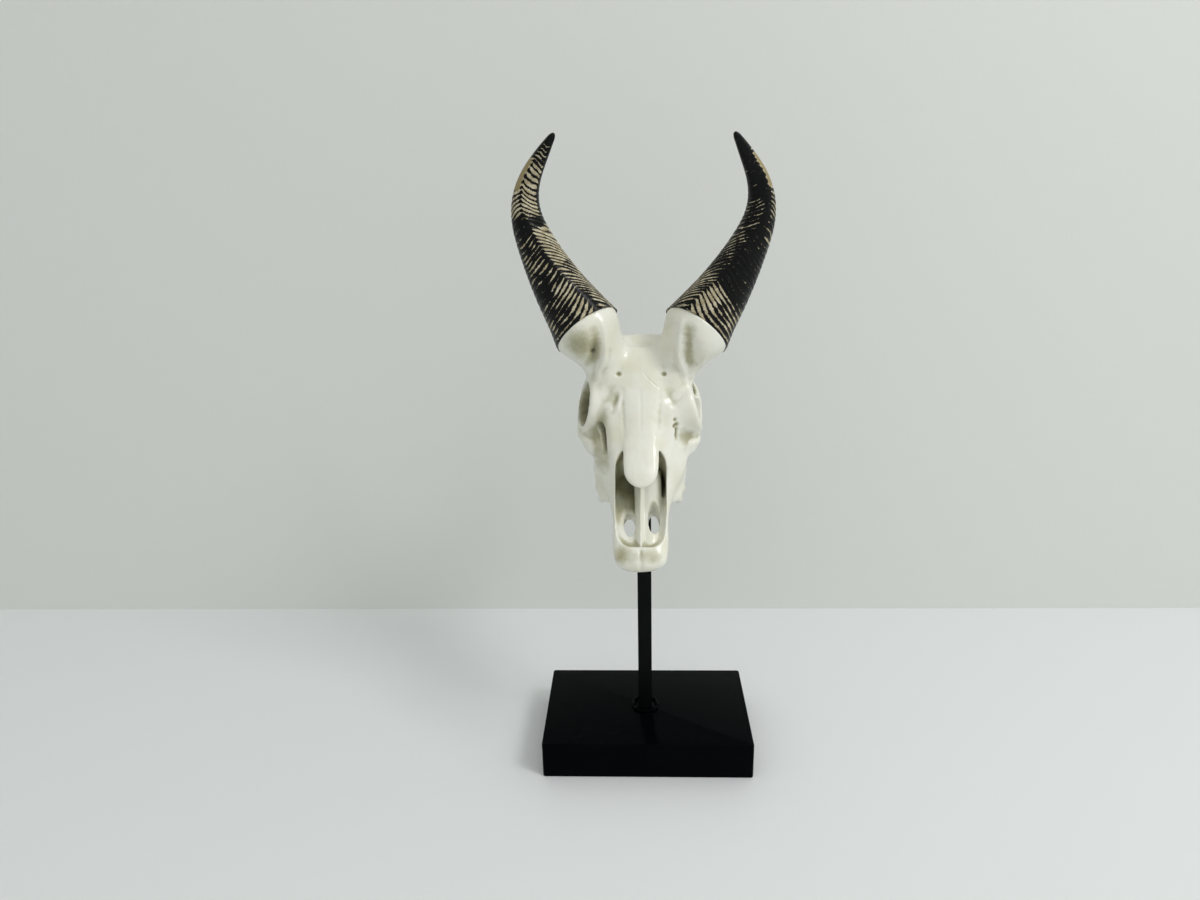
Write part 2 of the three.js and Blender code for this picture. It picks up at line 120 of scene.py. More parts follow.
# Gloss black lacquer, sprayed on wood: a deep black with a wet shine, a faint orange peel and specks of dust.
lacquer, tree, shader = finish("gloss_black_lacquer")
place = node(tree, "TexCoord").outputs["Object"]
haze = node(tree, "TexNoise", {"Vector": place, "Scale": 1 / (60 * mm), "Detail": 3})
tone = node(tree, "ValToRGB", {"Fac": haze.outputs["Fac"]})
tone.color_ramp.elements[0].color = linear(lacquer_black)
tone.color_ramp.elements[1].color = linear(lacquer_haze)
specks = node(tree, "TexVoronoi", {"Vector": place, "Scale": 1 / dust_spacing, "Randomness": 1})
dust = node(tree, "MapRange", {"Value": specks.outputs["Distance"], "From Min": 0.05, "From Max": 0.11,
                               "To Min": 0.5, "To Max": 0.12})
peel = node(tree, "TexNoise", {"Vector": place, "Scale": 1 / orange_peel, "Detail": 1})
bump = node(tree, "Bump", {"Height": peel.outputs["Fac"], "Strength": 0.05, "Distance": 0.3 * mm})
shader.inputs["Specular IOR Level"].default_value = 0.02
tree.links.new(tone.outputs["Color"], shader.inputs["Base Color"])
tree.links.new(dust.outputs["Result"], shader.inputs["Roughness"])
tree.links.new(bump.outputs["Normal"], shader.inputs["Normal"])
block.data.materials.append(lacquer)
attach(block, "root")
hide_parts("stand_base")

# The bar
# A length of square steel tube that stands upright in the block and ends in a socket inside the skull.
# It is brushed with satin black paint, which rounds its corners a little.
bar_corner = 1.0 * mm
paint_black = "#030505"
paint_worn = "#0A0D0E"
brush_width = 1.2 * mm

bar_low, bar_high = (np.array(corner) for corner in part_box("stand_rod"))
bar = add(
    bpy.ops.mesh.primitive_cube_add, size=1, location=(bar_low + bar_high) / 2, scale=bar_high - bar_low
)
bar.name = "stand_bar"
bpy.ops.object.transform_apply()
pick(bar, "EDGE", lambda e: abs(e.verts[0].co.z - e.verts[1].co.z) > mm)
bpy.ops.mesh.bevel(offset=bar_corner, segments=3, affect="EDGES")
pick(bar, "EDGE", lambda e: abs(e.verts[0].co.z - e.verts[1].co.z) > mm)
bpy.ops.mesh.subdivide(number_cuts=12)
bpy.ops.object.mode_set(mode="OBJECT")
bpy.ops.object.shade_smooth_by_angle(angle=math.radians(40))

# Satin black paint, brushed on steel: long brush marks down the bar and a soft, broken shine.
satin, tree, shader = finish("satin_black_paint")
place = node(tree, "TexCoord").outputs["Object"]
long_way = node(tree, "Mapping", {"Vector": place, "Scale": (1, 1, 0.04)})
marks = node(tree, "TexNoise", {"Vector": long_way.outputs["Vector"], "Scale": 1 / brush_width, "Detail": 4})
tone = node(tree, "ValToRGB", {"Fac": marks.outputs["Fac"]})
tone.color_ramp.elements[0].color = linear(paint_black)
tone.color_ramp.elements[1].color = linear(paint_worn)
shine = node(tree, "MapRange", {"Value": marks.outputs["Fac"], "To Min": 0.3, "To Max": 0.5})
bump = node(tree, "Bump", {"Height": marks.outputs["Fac"], "Strength": 0.25, "Distance": 0.2 * mm})
tree.links.new(tone.outputs["Color"], shader.inputs["Base Color"])
tree.links.new(shine.outputs["Result"], shader.inputs["Roughness"])
tree.links.new(bump.outputs["Normal"], shader.inputs["Normal"])
shader.inputs["Specular IOR Level"].default_value = 0.07
bar.data.materials.append(satin)
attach(bar, "root")
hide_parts("stand_rod")

# The collar
# A bead of black filler worked round the foot of the bar, which hides its hole in the block.
# It was laid by hand, so it is lumpy, and it dried with a shine.
bead_thick = 1.3 * mm
bead_lump = 0.45 * mm
bead_waves = (3, 5, 8)


def reshape(piece, rule):
    """Moves a piece's vertices by a rule that takes their places as an array and gives the new ones."""
    points = np.empty(len(piece.data.vertices) * 3)
    piece.data.vertices.foreach_get("co", points)
    piece.data.vertices.foreach_set("co", rule(points.reshape(-1, 3)).ravel())
    piece.data.update()


collar_low, collar_high = (np.array(corner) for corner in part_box("stand_collar"))
collar_middle = (collar_low + collar_high) / 2
bead_reach = (collar_high[0] - collar_low[0]) / 2 - bead_thick - bead_lump
collar = add(
    bpy.ops.mesh.primitive_torus_add, major_radius=bead_reach, minor_radius=bead_thick,
    major_segments=72, minor_segments=14,
)
collar.name = "stand_collar_bead"


def bead(points):
    """The ring drawn in against the flats of the bar, with lumps, and pressed flat on the block."""
    angle = np.arctan2(points[:, 1], points[:, 0])
    flats = (np.abs(np.cos(angle)) ** 6 + np.abs(np.sin(angle)) ** 6) ** (-1 / 6)
    lumps = sum(np.sin(wave * angle + wave * wave) for wave in bead_waves) / len(bead_waves)
    out = np.hypot(points[:, 0], points[:, 1])
    out = bead_reach * (0.7 + 0.3 * flats / 2 ** (1 / 3)) + (out - bead_reach) * (1.1 + 0.25 * lumps)
    rise = collar_low[2] + (points[:, 2] + bead_thick) * (0.85 + 0.25 * lumps)
    return np.stack([
        collar_middle[0] + out * np.cos(angle), collar_middle[1] + out * np.sin(angle), rise,
    ], axis=1)


reshape(collar, bead)
bpy.ops.object.shade_smooth()
collar.data.materials.append(lacquer)
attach(collar, "root")
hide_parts("stand_collar")

# The skull
# One cast in polyester resin, taken from a mould of a sculpted skull, so its bones run into one another
# and its edges are soft. It is set on the bar and tipped nose-down. It is shaped here in millimetres in
# its own frame: x to the side, y back from the muzzle tip, z up from the level of the tooth sockets.
skull_at = (-4.6 * mm, -80 * mm, 204 * mm)
nose_down, skull_roll, skull_turn = (math.radians(angle) for angle in (33, 1, 0.3))
clay_voxel, bone_voxel, cast_voxel = 1.3, 1.0, 0.7
clay_fill = 4.5
cast_triangles = 190_000
hand_spacing, hand_height = 13, 0.8
joint_gap = 0.35 * mm
# How far the rays look for cover, and how strongly closed-in places and creases darken: painted shade laid in
# with the olive wash
hollow_reach, hollow_wash_and_shade, dip_wash_and_shade = 32 * mm, 1.35, 0.45
ivory, ivory_warm = "#E6E6DA", "#DFDCC8"
# The wash colours from thin to deep, which also paint the shade in the hollows
wash_and_shade_thin, wash_and_shade_thick, wash_and_shade_deep = "#C4C2AB", "#87836A", "#47442F"


def change(piece, kind, **settings):
    """Puts a modifier on a piece and applies it."""
    bpy.ops.object.select_all(action="DESELECT")
    bpy.context.view_layer.objects.active = piece
    piece.select_set(True)
    modifier = piece.modifiers.new(kind.title(), kind)
    for name, value in settings.items():
        setattr(modifier, name, value)
    bpy.ops.object.modifier_apply(modifier=modifier.name)


def join(*pieces):
    """Joins pieces into the first one."""
    bpy.ops.object.select_all(action="DESELECT")
    for piece in pieces:
        piece.select_set(True)
    bpy.context.view_layer.objects.active = pieces[0]
    bpy.ops.object.join()
    bpy.ops.object.transform_apply()
    return pieces[0]


def through(rows, share):
    """A smooth curve through rows of numbers, read at shares of the way along."""
    rows = np.array(rows, float)
    at = np.asarray(share) * (len(rows) - 1)
    left = np.clip(at.astype(int), 0, len(rows) - 2)
    part = (at - left)[:, None]
    a, b = rows[left], rows[left + 1]
    before = rows[np.maximum(left - 1, 0)]
    after = rows[np.minimum(left + 2, len(rows) - 1)]
    curve = 3 * (a - b) + after - before
    return a + 0.5 * part * (b - before + part * (2 * before - 5 * a + 4 * b - after + part * curve))


def quarter_round(share):
    """Rises from 0 to 1 as a quarter of a circle does, and stays at 1."""
    return np.sqrt(np.clip(1 - np.clip(1 - share, 0, 1) ** 2, 0, 1))


def oval(row, angle):
    """A section's offsets to the side and up, from a row's half width and half height."""
    return row[:, 3] * np.cos(angle), row[:, 4] * np.sin(angle)


def loft(rows, caps=(0.01, 0.01), rings=30, sides=32, up=(0, 0, 1), outline=oval, facing=None):
    """A closed body along rows that start with a middle point: a circle extruded ring by ring, then laid
    along the rows, square to them or all facing one way. Its two ends close in as quarter rounds of the
    given lengths."""
    body = add(bpy.ops.mesh.primitive_circle_add, vertices=sides, radius=1, fill_type="NGON")
    bpy.ops.object.mode_set(mode="EDIT")
    for _ in range(rings - 1):
        bpy.ops.mesh.extrude_region_move(TRANSFORM_OT_translate={"value": (0, 0, 1)})
    bpy.ops.mesh.select_all(action="SELECT")
    bpy.ops.object.mode_set(mode="OBJECT")
    share = 0.5 - 0.5 * np.cos(np.linspace(0, np.pi, rings))
    table = through(rows, share)
    middle = table[:, :3]
    run = np.concatenate([[0], np.cumsum(np.linalg.norm(np.diff(middle, axis=0), axis=1))])
    close = quarter_round(run / caps[0]) * quarter_round((run[-1] - run) / caps[1])
    ahead = np.gradient(middle, share, axis=0) if facing is None else np.tile(facing, (rings, 1))
    side = np.cross(ahead, up)
    side /= np.linalg.norm(side, axis=1)[:, None]
    rise = np.cross(side, ahead)
    rise /= np.linalg.norm(rise, axis=1)[:, None]

    def lay(points):
        ring = np.rint(points[:, 2]).astype(int)
        a, b = outline(table[ring], np.arctan2(points[:, 1], points[:, 0]))
        shut = np.maximum(close[ring], 0.02)
        return middle[ring] + side[ring] * (a * shut)[:, None] + rise[ring] * (b * shut)[:, None]

    reshape(body, lay)
    bpy.ops.object.mode_set(mode="EDIT")
    bpy.ops.mesh.normals_make_consistent(inside=False)
    bpy.ops.object.mode_set(mode="OBJECT")
    return body


def lump(at, radii, slope=0):
    """A rounded bone: a ball with a radius for each axis, tipped by a slope."""
    return add(
        bpy.ops.mesh.primitive_uv_sphere_add, segments=40, ring_count=24, radius=1, location=at,
        scale=radii, rotation=(math.radians(-slope), 0, 0),
    )


def both_sides(piece):
    """Doubles a piece that is made for the right side."""
    bpy.ops.object.select_all(action="DESELECT")
    piece.select_set(True)
    bpy.ops.object.transform_apply()
    change(piece, "MIRROR", use_axis=(True, False, False), use_mirror_merge=False)
    return piece


# The long body of the face: the middle of each section, its half height, and its half width low down,
# half way up and high up, at every 21 mm from the muzzle tip to the back of the forehead
face_rows = [
    (0, 0, 1.5, 7.5, 16, 19, 17),
    (0, 21, 5.25, 10.25, 20, 22, 21),
    (0, 42, 12.5, 16.5, 20, 22, 20),
    (0, 63, 20.5, 23.5, 27, 26.5, 18),
    (0, 84, 26.5, 30.5, 36, 36.5, 22),
    (0, 105, 33.5, 35.5, 31, 36.5, 27),
    (0, 126, 44.5, 36.5, 22, 32, 37),
    (0, 147, 52.5, 38.5, 18, 28, 41),
    (0, 168, 52, 33, 16, 24, 27),
]


def face_outline(row, angle):
    """A squared oval, rounder above than below, that leans in towards its roof and floor."""
    flat = 2 / np.where(np.sin(angle) > 0, 2.5, 3.2)
    out = np.sign(np.cos(angle)) * np.abs(np.cos(angle)) ** flat
    lift = np.sign(np.sin(angle)) * np.abs(np.sin(angle)) ** flat
    low, half, high = row[:, 4], row[:, 5], row[:, 6]
    wide = half + np.abs(lift) * (np.where(lift < 0, low, high) - half)
    return out * wide, lift * row[:, 3]


face = loft(face_rows, caps=(8, 20), rings=64, sides=64, outline=face_outline, facing=(0.0, 1.0, 0.0))
# The brain case, the bone round the neck joint, the floor of the skull and the flat ledge between the horns
middle_bones = [
    lump((0, 163, 49.5), (31, 39, 32), 38),
    lump((0, 189, 36), (26, 9, 24), 12),
    lump((0, 165, 18), (11, 31, 9)),
    lump((0, 159, 76), (28, 18, 10.5), -10),
    loft([(-30, 164, 80.5, 11, 6), (30, 164, 80.5, 11, 6)], caps=(5, 5)),
]
# The middle of each eye's rim and the way it looks, which differ a little from side to side
eyes = [
    (np.array((-47.5, 125, 53)), np.array((-0.956, -0.095, 0.277))),
    (np.array((46.5, 125, 53)), np.array((0.962, 0.13, 0.24))),
]
eye_drums = [loft([(*(at - 36 * way), 21, 24), (*at, 22, 22)], caps=(11, 3), sides=48) for at, way in eyes]
# The brow, the cheek and cheekbone, the wall behind the eye, the knob of the neck joint, the ear bulb, the
# row that holds the teeth, the side of the nose and the root of the horn's stalk
side_bones = join(
    lump((23, 141, 67), (18, 20, 19)),
    lump((29, 109, 31), (10, 24, 14)),
    lump((38, 107, 30), (9, 15, 9)),
    lump((30, 130, 54), (16, 21, 21)),
    lump((10, 195, 14), (6.5, 9, 8)),
    lump((18, 166, 14), (8, 13, 10)),
    loft([(27, 64, 3, 6, 6), (31, 92, 4, 6.8, 6.8), (31, 121, 6, 7.5, 7.5)], caps=(6, 7)),
    loft([(16, 68, 34.5, 7, 6), (18, 92, 47.5, 9, 7), (21, 118, 65, 10, 8)], caps=(8, 8)),
    loft([(14, 144, 50, 21, 21), (16, 146, 54, 21, 21), (31, 151.5, 83, 20, 20), (36, 154, 90, 20.5, 20.5)],
         up=(0, -1, 0.4)),
)
skull = join(face, *middle_bones, *eye_drums, both_sides(side_bones))
skull.name = "skull_cast"
change(skull, "REMESH", mode="VOXEL", voxel_size=clay_voxel)
change(skull, "DISPLACE", strength=clay_fill, mid_level=0)
change(skull, "REMESH", mode="VOXEL", voxel_size=clay_voxel)
change(skull, "DISPLACE", strength=-clay_fill, mid_level=0)
change(skull, "REMESH", mode="VOXEL", voxel_size=clay_voxel)
change(skull, "SMOOTH", factor=0.5, iterations=10)

# Thinner bones that keep their own edge: the cheek arch behind each eye, the hook beside the neck joint and
# the stalk that flares to the horn's rim
horn_foot = np.array((43, 158.3, 101.8))
horn_up = np.array((0.51, 0.43, 0.75))
rim_normal = np.array((0.57, 0.73, 0.38))
horn_radius = 27.8
thin_bones = join(
    loft([(19, 182, 30, 6, 9), (22, 187, 10, 4.3, 6), (21, 185, -8, 2.5, 3)], caps=(4, 3), up=(0, 1, 0)),
    loft([(16, 146, 54, 20, 20), (31, 151.5, 83, 20, 20), (*horn_foot, horn_radius - 0.8, horn_radius - 0.8),
          (*(horn_foot + 20 * horn_up), horn_radius - 4.3, horn_radius - 4.3)], up=(0, -1, 0.4), sides=64),
)
arches = [
    loft([(side * 34, 98, 20, 5, 5.2), (side * front, 114, 27, 4, 5.2), (side * 47.5, 140, 37.5, 3, 5.2),
          (side * 40, 160, 42, 4, 5.2), (side * 28, 172, 40, 5, 5.2)], caps=(6, 6))
    for side, front in ((-1, 47.5), (1, 44.5))
]
join(skull, both_sides(thin_bones), *arches)
change(skull, "REMESH", mode="VOXEL", voxel_size=bone_voxel)
change(skull, "SMOOTH", factor=0.5, iterations=6)


def cut(piece, tool):
    """Cuts one closed body out of another."""
    change(piece, "BOOLEAN", operation="DIFFERENCE", solver="MANIFOLD", object=tool)
    bpy.data.objects.remove(tool)


# What is hollow: the eyes, the nose, the throat, the hole for the spine and the roof of the mouth
eye_hollows = [
    loft([(*(at - 31 * way), 14.6, 13.6), (*(at + 14 * way), 20.6, 20.6)], caps=(20, 2), sides=48)
    for at, way in eyes
]
nose = add(bpy.ops.mesh.primitive_cube_add, size=1, location=(0, 47.5, 33), scale=(39.6, 69, 54))
bpy.ops.object.transform_apply()
change(nose, "BEVEL", width=13, segments=8)
for tools in (
    [*eye_hollows, nose, lump((0, 134, 8), (9, 20, 16), -30), lump((0, 200, 22), (8.5, 18, 8.5))],
    [lump((0, 86, 27), (14, 26, 14))],
    [lump((0, 84, -5), (17, 36, 10))],
):
    cut(skull, join(*tools))

# What is added over the hollows: the tongue of the nasal bones, the wall in the middle of the nose with the
# slope on its right, and the teeth


def ridged(row, angle):
    """A section that comes to a crest above and below."""
    return row[:, 3] * np.cos(angle) * np.abs(np.cos(angle)) ** 1.4, row[:, 4] * np.sin(angle)


nasal = loft([(0, 50.5, 39.3, 12.4, 3.6), (0, 77, 49.5, 14, 4), (0, 105, 62.5, 14, 4.6), (0, 133, 79, 16, 5)],
             caps=(13, 8), sides=48, rings=48)
septum = loft([(0, 11, 6, 4, 5), (0, 49.5, 8, 4.5, 11), (0, 86, 28, 6, 13)], caps=(4, 5), outline=ridged)
septum_slope = loft([(6, 15, 4, 7, 4), (8, 49.5, 8, 9, 8), (7, 80, 27, 9, 10)], caps=(5, 5))
dice = np.random.default_rng(3)
crowns = []
for place_share in (0, 1, 2, 2.75, 3.25, 3.75, 4.25, 4.75, 5.25):
    share = place_share / 5
    size = 4.6 * (1 + 0.3 * share) * dice.uniform(0.85, 1.1)
    x = 31 + 1.5 * share + 2.5 * math.sin(math.pi * share)
    crowns.append(lump((x, 70 + 54 * share, -0.5), (size * 0.85, size * 0.8, 6.5 * dice.uniform(0.8, 1.15))))
    if place_share > 2.5:
        crowns.append(lump((x - 5.5, 70 + 54 * share, 0), (size * 0.8, size * 0.75, 6)))
join(skull, nasal, septum, septum_slope, both_sides(join(*crowns)))
change(skull, "REMESH", mode="VOXEL", voxel_size=cast_voxel)

# The two holes through the floor of the nose
floor_holes = [
    add(bpy.ops.mesh.primitive_cylinder_add, vertices=40, radius=1, depth=50, location=(x, y, 0),
        scale=(4.6, half_length, 1))
    for x, y, half_length in ((-8.4, 39.5, 10.5), (10.4, 41, 12))
]
cut(skull, join(*floor_holes))
change(skull, "SMOOTH", factor=0.5, iterations=5)

# Marks worked into the clay with a modelling tool: how far each stands up or is pressed in, how wide it is,
# and the points it runs through. The first list is on both sides, the second on one.
marks_both = [
    # The ridge down the front of the horn's stalk, the hollow beside it and the ridge past that
    (2.4, 2.8, [(34, 150, 119), (29.7, 139, 106), (30, 135, 94), (34, 130, 83), (38, 125, 74)]),
    (-4.2, 5.0, [(39, 147, 115), (37, 139, 105), (37, 135, 95), (41, 133, 86)]),
    (0.9, 3.0, [(47, 148, 105), (45, 141, 94), (46, 137, 84)]),
    # The hole in the brow
    (-2.6, 1.3, [(17.4, 127.6, 85.3)]),
    # The ledge of the cheekbone and the hollow under it
    (2.0, 2.6, [(47, 114, 31), (43, 105, 32), (37, 97, 34)]),
    (-3.2, 3.0, [(47, 112, 24), (43, 103, 25), (36, 96, 27)]),
    # The dimple in the muzzle, the line over the temple and the seam beside the nasal bones
    (-0.9, 4.0, [(9, 4, 8)]),
    (0.8, 2.5, [(22, 150, 88), (26, 172, 72), (24, 190, 50)]),
    (-0.6, 1.3, [(15, 121, 76), (14.3, 103, 66), (14, 85, 56.5)]),
]
marks_one = [
    # The hole in the left stalk, and the slit before the left eye
    (-2.6, 1.2, [(-36.6, 133.7, 100.9)]),
    (-3.6, 2.2, [(-30.5, 107, 53), (-27.5, 95, 45), (-25, 85, 38)]),
    # The pits in the right cheek
    (-3.0, 2.0, [(25.2, 101.5, 54.5)]),
    (-2.8, 1.7, [(26.4, 98.2, 52)]),
    (-2.4, 1.4, [(24.3, 104.5, 57)]),
    (-2.4, 1.5, [(27.4, 95.8, 50)]),
    (-2.0, 1.3, [(23.4, 99.8, 54.5)]),
    (-2.6, 1.6, [(25.6, 95.5, 50)]),
    (-2.4, 1.5, [(28, 93.5, 48)]),
    # The fold and groove left of the nasal bones, and the bent hollow right of them
    (0.8, 1.5, [(-15.8, 117, 75), (-18.5, 106, 64)]),
    (-0.9, 1.8, [(-19.5, 117, 74), (-22, 105, 61)]),
    (-1.0, 2.8, [(21, 118, 75), (25.6, 111.3, 66.5)]),
    (-1.0, 2.8, [(25.6, 111.3, 66.5), (34, 118, 72)]),
    # The crest beside the slit, the groove down the muzzle and the seam between the nasal bones
    (1.7, 1.6, [(-34, 103, 48), (-30.5, 95, 44), (-26, 83, 38)]),
    (-1.1, 1.6, [(0, -2, 0), (0, 6, 9.5), (0, 13, 12)]),
    (-0.35, 0.8, [(-1, 120, 79), (-0.5, 104, 69), (-0.5, 88, 60)]),
]


def work(piece, marks):
    """Presses or raises lines on a piece, each laid on its surface first."""
    points = np.empty(len(piece.data.vertices) * 3)
    normals = np.empty(len(piece.data.vertices) * 3)
    piece.data.vertices.foreach_get("co", points)
    piece.data.vertex_normals.foreach_get("vector", normals)
    points, normals = points.reshape(-1, 3), normals.reshape(-1, 3)
    tree = KDTree(len(points))
    for index, point in enumerate(points):
        tree.insert(point, index)
    tree.balance()
    move = np.zeros(len(points))
    for depth, width, line in marks:
        length = sum(math.dist(a, b) for a, b in zip(line, line[1:]))
        share = np.linspace(0.02, 0.98, max(2, int(length / (0.4 * width))))
        reach = {}
        for part, spot in zip(share, through(line if len(line) > 1 else line * 2, share)):
            on_bone = piece.closest_point_on_mesh(spot)[1]
            taper = 1 if len(line) == 1 else math.sin(math.pi * part) ** 0.7
            for _, index, away in tree.find_range(on_bone, 2.4 * width):
                reach[index] = max(taper * math.exp(-((away / width) ** 2)), reach.get(index, 0))
        move[np.fromiter(reach.keys(), int)] += depth * np.fromiter(reach.values(), float)
    reshape(piece, lambda places: places + normals * move[:, None])


mirrored_marks = [
    (depth, width, [(side * x, y, z) for x, y, z in line])
    for depth, width, line in marks_both
    for side in (-1, 1)
]
work(skull, mirrored_marks + marks_one)
change(skull, "SMOOTH", factor=0.5, iterations=4)
hand = bpy.data.textures.new("hand", "CLOUDS")
hand.noise_scale = hand_spacing
change(skull, "DISPLACE", texture=hand, texture_coords="LOCAL", strength=hand_height, mid_level=0.5)

# A hairline crack in the forehead, on faces cut finer along it
crack = [(0.5, 130.4, 84.7), (5.9, 125.1, 81.3), (15.3, 118.7, 76.7)]
crack_steps = 40
crack_spots = KDTree(crack_steps)
for index, spot in enumerate(through(crack, np.linspace(0, 1, crack_steps))):
    crack_spots.insert(skull.closest_point_on_mesh(spot)[1], index)
crack_spots.balance()
pick(skull, "FACE", lambda face: crack_spots.find(face.verts[0].co)[2] < 1.5)
bpy.ops.mesh.subdivide(number_cuts=2)
bpy.ops.object.mode_set(mode="OBJECT")
work(skull, [(-0.32, 0.35, crack)])

# The rims that the horns stand on
for side in (-1, 1):
    mirrored = np.array((side, 1, 1))
    pick(skull, "FACE", lambda face: True)
    bpy.ops.mesh.bisect(
        plane_co=horn_foot * mirrored, plane_no=rim_normal * mirrored, use_fill=True, clear_outer=True
    )
    bpy.ops.object.mode_set(mode="OBJECT")

skull_pose = (
    Matrix.Translation(skull_at) @ Matrix.Rotation(skull_roll, 4, "Y") @ Matrix.Rotation(skull_turn, 4, "Z")
    @ Matrix.Rotation(nose_down, 4, "X") @ Matrix.Scale(mm, 4)
)
skull.matrix_world = skull_pose
bpy.ops.object.transform_apply()
socket_low, socket_high = bar_low - joint_gap, bar_high + joint_gap
cut(skull, add(bpy.ops.mesh.primitive_cube_add, size=1, location=(socket_low + socket_high) / 2,
               scale=socket_high - socket_low))
triangles = sum(len(face.vertices) - 2 for face in skull.data.polygons)
change(skull, "DECIMATE", ratio=min(1, cast_triangles / triangles))
bpy.ops.object.shade_smooth()


def beside(piece, values, rounds):
    """Values of a piece's vertices, each evened out with those beside it, over some rounds."""
    ends = np.empty(len(piece.data.edges) * 2, int)
    piece.data.edges.foreach_get("vertices", ends)
    ends = np.concatenate([ends.reshape(-1, 2), ends.reshape(-1, 2)[:, ::-1]])
    count = np.bincount(ends[:, 0], minlength=len(values))
    for _ in range(rounds):
        total = np.bincount(ends[:, 0], weights=values[ends[:, 1]], minlength=len(values))
        values = (values + total) / (1 + count)
    return values


def closed_in(piece, reach):
    """How closed in each vertex is, from 0 in the open to 1 deep in a hollow, by short rays sent from it."""
    tree = BVHTree.FromObject(piece, bpy.context.evaluated_depsgraph_get())
    rays = 26
    step = np.arange(rays)
    turn, rise = step * math.pi * (3 - math.sqrt(5)), 1 - (2 * step + 1) / rays
    level = np.sqrt(1 - rise ** 2)
    ways = np.stack([level * np.cos(turn), level * np.sin(turn), rise], axis=1)
    closed = np.zeros(len(piece.data.vertices))
    for index, vertex in enumerate(piece.data.vertices):
        facing = ways @ vertex.normal
        start = vertex.co + vertex.normal * 0.3 * mm
        ahead = facing > 0.25
        for way, share in zip(ways[ahead], facing[ahead] / facing[ahead].sum()):
            away = tree.ray_cast(start, way, reach)[3]
            if away is not None:
                closed[index] += share * (1 - away / reach)
    return closed


places = np.array([vertex.co for vertex in skull.data.vertices])
outward = np.array([vertex.normal for vertex in skull.data.vertices])
evened = np.stack([beside(skull, places[:, axis], 30) for axis in range(3)], axis=1)
dip = ((evened - places) * outward).sum(axis=1) / mm
# The olive wash and painted shade together: darker the more closed in a place is and the deeper its crease,
# lighter on ridges
wash_and_shade = beside(skull, closed_in(skull, hollow_reach), 12) * hollow_wash_and_shade
wash_and_shade += np.clip(beside(skull, dip, 3), -0.3, 0.6) * dip_wash_and_shade
# Spots that make the colour darker or lighter, in the skull's frame: how much, where and how far
own_frame = places @ np.array(skull_pose.inverted().to_3x3()).T + np.array(skull_pose.inverted().translation)
wash_and_shade_spots = [
    # Lighter: the right and left of the nose, and the ledge between the horns; on the right of the nose it is
    # painted light
    (-0.75, (10, 40, 8), 17),
    (-1.0, (12, 60, 19), 18),
    (-0.35, (-9, 30, 4), 10),
    (-0.3, (-9, 64, 20), 15),
    (-0.5, (0, 154, 90), 16),
    # Darker, as painted shade: the floor of the nose, the eyes, the stalks, the cheeks and the muzzle,
    # heaviest on the left side, away from the lamp
    (0.25, (-10.6, 52.4, 7.7), 8),
    (0.45, (-46, 125, 48), 16),
    (0.3, (44, 125, 48), 12),
    (0.3, (-46.7, 136.5, 38.5), 11),
    (0.6, (-47, 133, 110), 15),
    (0.3, (34.6, 139.7, 119.2), 12),
    (0.3, (-28.4, 105.3, 55.3), 9),
    (0.4, (-32.2, 82.1, 33.8), 15),
    (0.15, (-22, 112, 66), 8),
    (0.2, (36, 100, 34), 9),
    (0.55, (-14.2, 9.2, 9.8), 9),
    (0.4, (10.8, 9, 10.5), 8),
    (0.3, (0.9, 7.9, 10.7), 6),
]
for amount, spot, reach in wash_and_shade_spots:
    wash_and_shade += amount * np.exp(-(((own_frame - spot) / reach) ** 2).sum(axis=1))
skull.data.attributes.new("wash_and_shade", "FLOAT", "POINT").data.foreach_set("value", np.clip(wash_and_shade, 0, 1))

# Ivory gloss lacquer over cast resin: a warm white with a wet shine, and an olive wash that was wiped off the
# high places and stayed in the hollows, cracks and sockets, deepened there with painted shade.
cast, tree, shader = finish("ivory_lacquered_resin")
place = node(tree, "TexCoord").outputs["Object"]
warmth = node(tree, "TexNoise", {"Vector": place, "Scale": 1 / (22 * mm), "Detail": 4})
base = node(tree, "ValToRGB", {"Fac": warmth.outputs["Fac"]})
base.color_ramp.elements[0].color = linear(ivory)
base.color_ramp.elements[1].color = linear(ivory_warm)
base.color_ramp.elements[0].position, base.color_ramp.elements[1].position = 0.42, 0.72
wash_and_shade_amount = node(tree, "Attribute", attribute_name="wash_and_shade").outputs["Fac"]
streaked = node(tree, "Mapping", {"Vector": place, "Rotation": (-nose_down, 0, 0), "Scale": (1, 0.3, 1)})
smear = node(tree, "TexNoise", {"Vector": streaked.outputs["Vector"], "Scale": 1 / (4 * mm), "Detail": 5,
                                "Roughness": 0.65})
uneven = node(tree, "MapRange", {"Value": smear.outputs["Fac"], "From Min": 0.3, "From Max": 0.7,
                                 "To Min": -0.05, "To Max": 0.05})
amount = node(tree, "Math", {0: wash_and_shade_amount, 1: uneven.outputs["Result"]}, operation="ADD")
# The ramp from white to deep olive: the wash and the painted shade in the hollows
wash_and_shade_ramp = node(tree, "ValToRGB", {"Fac": amount.outputs["Value"]})
wash_and_shade_ramp.color_ramp.elements[0].color = (1, 1, 1, 1)
wash_and_shade_ramp.color_ramp.elements[0].position = 0.06
wash_and_shade_ramp.color_ramp.elements[1].color = linear(wash_and_shade_deep)
wash_and_shade_ramp.color_ramp.elements[1].position = 1.0
for position, colour in ((0.36, wash_and_shade_thin), (0.7, wash_and_shade_thick)):
    wash_and_shade_ramp.color_ramp.elements.new(position).color = linear(colour)
colour = node(tree, "Mix", {"Factor": 1.0, 6: base.outputs["Color"], 7: wash_and_shade_ramp.outputs["Color"]},
              data_type="RGBA", blend_type="MULTIPLY")
brushed = node(tree, "TexNoise", {"Vector": place, "Scale": 1 / (3.5 * mm), "Detail": 2})
bump = node(tree, "Bump", {"Height": brushed.outputs["Fac"], "Strength": 0.12, "Distance": 0.35 * mm})
tree.links.new(colour.outputs[2], shader.inputs["Base Color"])
